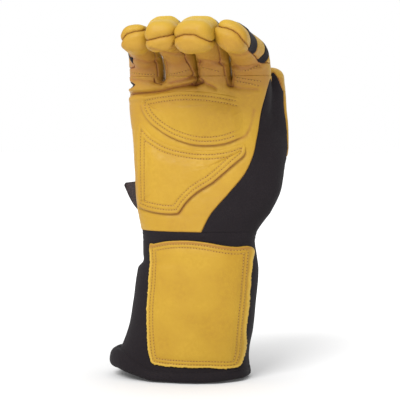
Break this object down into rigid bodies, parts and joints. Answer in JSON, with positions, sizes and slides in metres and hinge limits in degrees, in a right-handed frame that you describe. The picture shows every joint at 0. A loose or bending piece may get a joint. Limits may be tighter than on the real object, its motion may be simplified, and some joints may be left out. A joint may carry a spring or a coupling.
{
  "type": "lineman glove",
  "caption": "Right-hand leather work glove with padded palm, stretch bands and a long gauntlet cuff, shown worn with curled fingers",
  "frame": {"origin": "The centre of the hand opening at the cuff's rim.", "axes": "+Z from the opening up to the fingertips, the palm faces -Y, the thumb and index finger are on the +X side."},
  "size_m": [0.1253, 0.1101, 0.2483],
  "materials": {
    "leather": "soft golden grain leather, matt, slightly creased",
    "fabric": "black knitted stretch fabric, matt",
    "tab": "dark woven tape, matt"
  },
  "bodies": {
    "root": {"palm_leather": "leather", "palm_pad_upper": "leather", "palm_pad_lower": "leather", "thumb_back": "leather", "thumb_side_panel": "fabric", "hand_back": "fabric", "knuckle_guard": "leather", "gusset_pinky_ring": "leather", "gusset_ring_middle": "leather", "gusset_middle_index": "leather", "pinky_front": "leather", "pinky_back": "leather", "pinky_knuckle_band": "fabric", "pinky_tip_band": "fabric", "ring_front": "leather", "ring_back": "leather", "ring_knuckle_band": "fabric", "ring_tip_band": "fabric", "middle_front": "leather", "middle_back": "leather", "middle_knuckle_band": "fabric", "middle_tip_band": "fabric", "index_front": "leather", "index_back": "leather", "index_knuckle_band": "fabric", "index_tip_band": "fabric", "wrist_band": "fabric", "cuff_sleeve": "fabric", "cuff_hem": "fabric", "cuff_patch": "leather", "pull_tab": "tab"}
  },
  "joints": []
}
